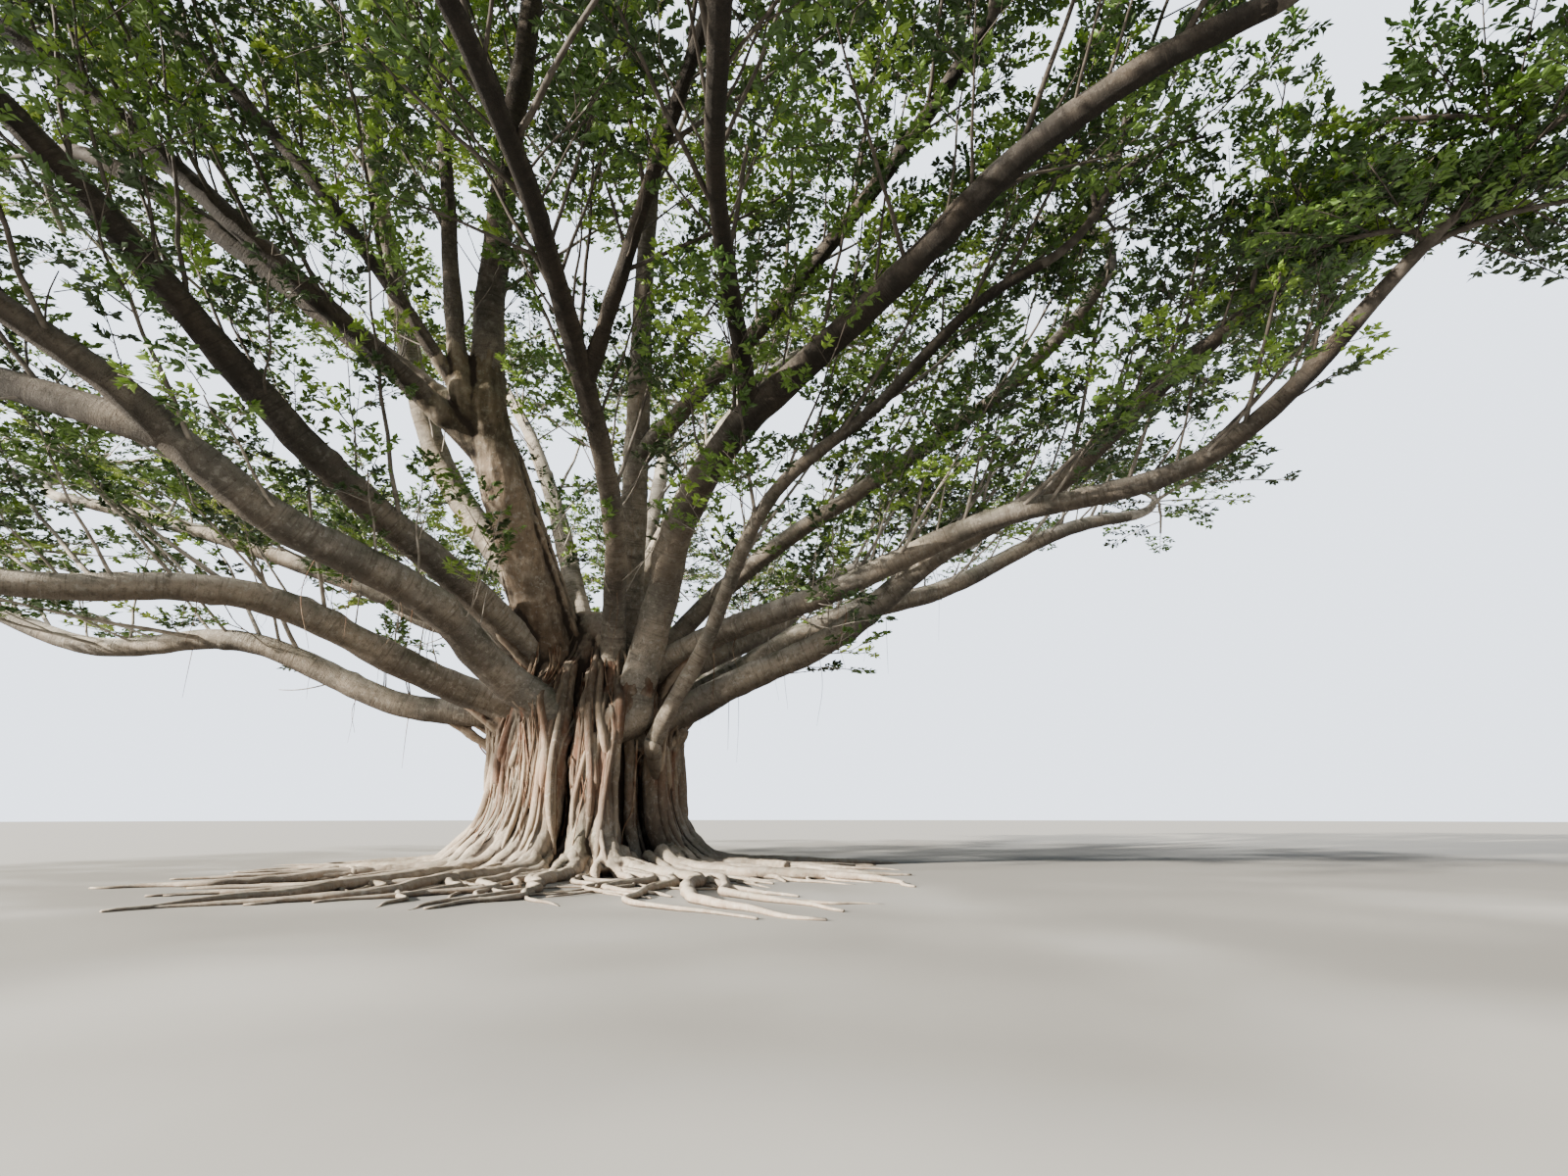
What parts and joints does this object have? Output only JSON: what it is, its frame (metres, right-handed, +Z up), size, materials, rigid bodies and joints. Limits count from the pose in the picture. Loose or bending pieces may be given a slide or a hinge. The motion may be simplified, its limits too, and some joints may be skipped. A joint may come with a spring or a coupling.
{
  "type": "banyan tree",
  "caption": "Spreading banyan tree with a trunk of fused aerial roots, root flare over the ground, long radiating boughs and a wide open crown of foliage.",
  "frame": {"origin": "centre of the flat cut under the trunk, at ground level", "axes": "+Z up along the trunk's foot; the picture was taken from the -Y side, with +X to its right"},
  "size_m": [39.3478, 39.3288, 21.7799],
  "materials": {
    "trunk_bark": "pale grey-brown bark of fused aerial roots, matt, with rusty brown between the strands",
    "bough_bark": "smooth pale grey-tan bark with fine rings and grey-green patches, matt",
    "leaves": "leathery mid to dark green leaves, slightly glossy"
  },
  "bodies": {
    "root": {"bough_back_left_upright": "bough_bark", "bough_centre_right": "bough_bark", "bough_centre_upright": "bough_bark", "bough_far_left": "bough_bark", "bough_far_left_low": "bough_bark", "bough_far_left_upright": "bough_bark", "bough_far_middle": "bough_bark", "bough_far_right": "bough_bark", "bough_far_right_low": "bough_bark", "bough_far_right_upright": "bough_bark", "bough_front_overhead": "bough_bark", "bough_front_side": "bough_bark", "bough_leader_front": "bough_bark", "bough_leader_left": "bough_bark", "bough_leader_top": "bough_bark", "bough_left_back": "bough_bark", "bough_left_great": "bough_bark", "bough_left_great_inner": "bough_bark", "bough_left_great_outer": "bough_bark", "bough_left_high": "bough_bark", "bough_left_low": "bough_bark", "bough_left_lowest": "bough_bark", "bough_right_back": "bough_bark", "bough_right_great": "bough_bark", "bough_right_long": "bough_bark", "bough_right_low": "bough_bark", "bough_right_overhead": "bough_bark", "bough_right_side_low": "bough_bark", "foliage_back_left_upright": "leaves", "foliage_centre_right": "leaves", "foliage_centre_upright": "leaves", "foliage_far_crown": "leaves", "foliage_far_left": "leaves", "foliage_far_left_low": "leaves", "foliage_far_left_upright": "leaves", "foliage_far_middle": "leaves", "foliage_far_right": "leaves", "foliage_far_right_low": "leaves", "foliage_far_right_upright": "leaves", "foliage_front_overhead": "leaves", "foliage_front_side": "leaves", "foliage_leader_crown": "leaves", "foliage_leader_front": "leaves", "foliage_leader_high": "leaves", "foliage_leader_left": "leaves", "foliage_leader_top": "leaves", "foliage_left_back": "leaves", "foliage_left_great_inner": "leaves", "foliage_left_great_outer": "leaves", "foliage_left_high": "leaves", "foliage_left_low": "leaves", "foliage_left_lowest": "leaves", "foliage_right_back": "leaves", "foliage_right_crossing": "leaves", "foliage_right_great": "leaves", "foliage_right_long": "leaves", "foliage_right_low": "leaves", "foliage_right_overhead": "leaves", "foliage_right_side_low": "leaves", "trunk": "trunk_bark"}
  },
  "joints": []
}
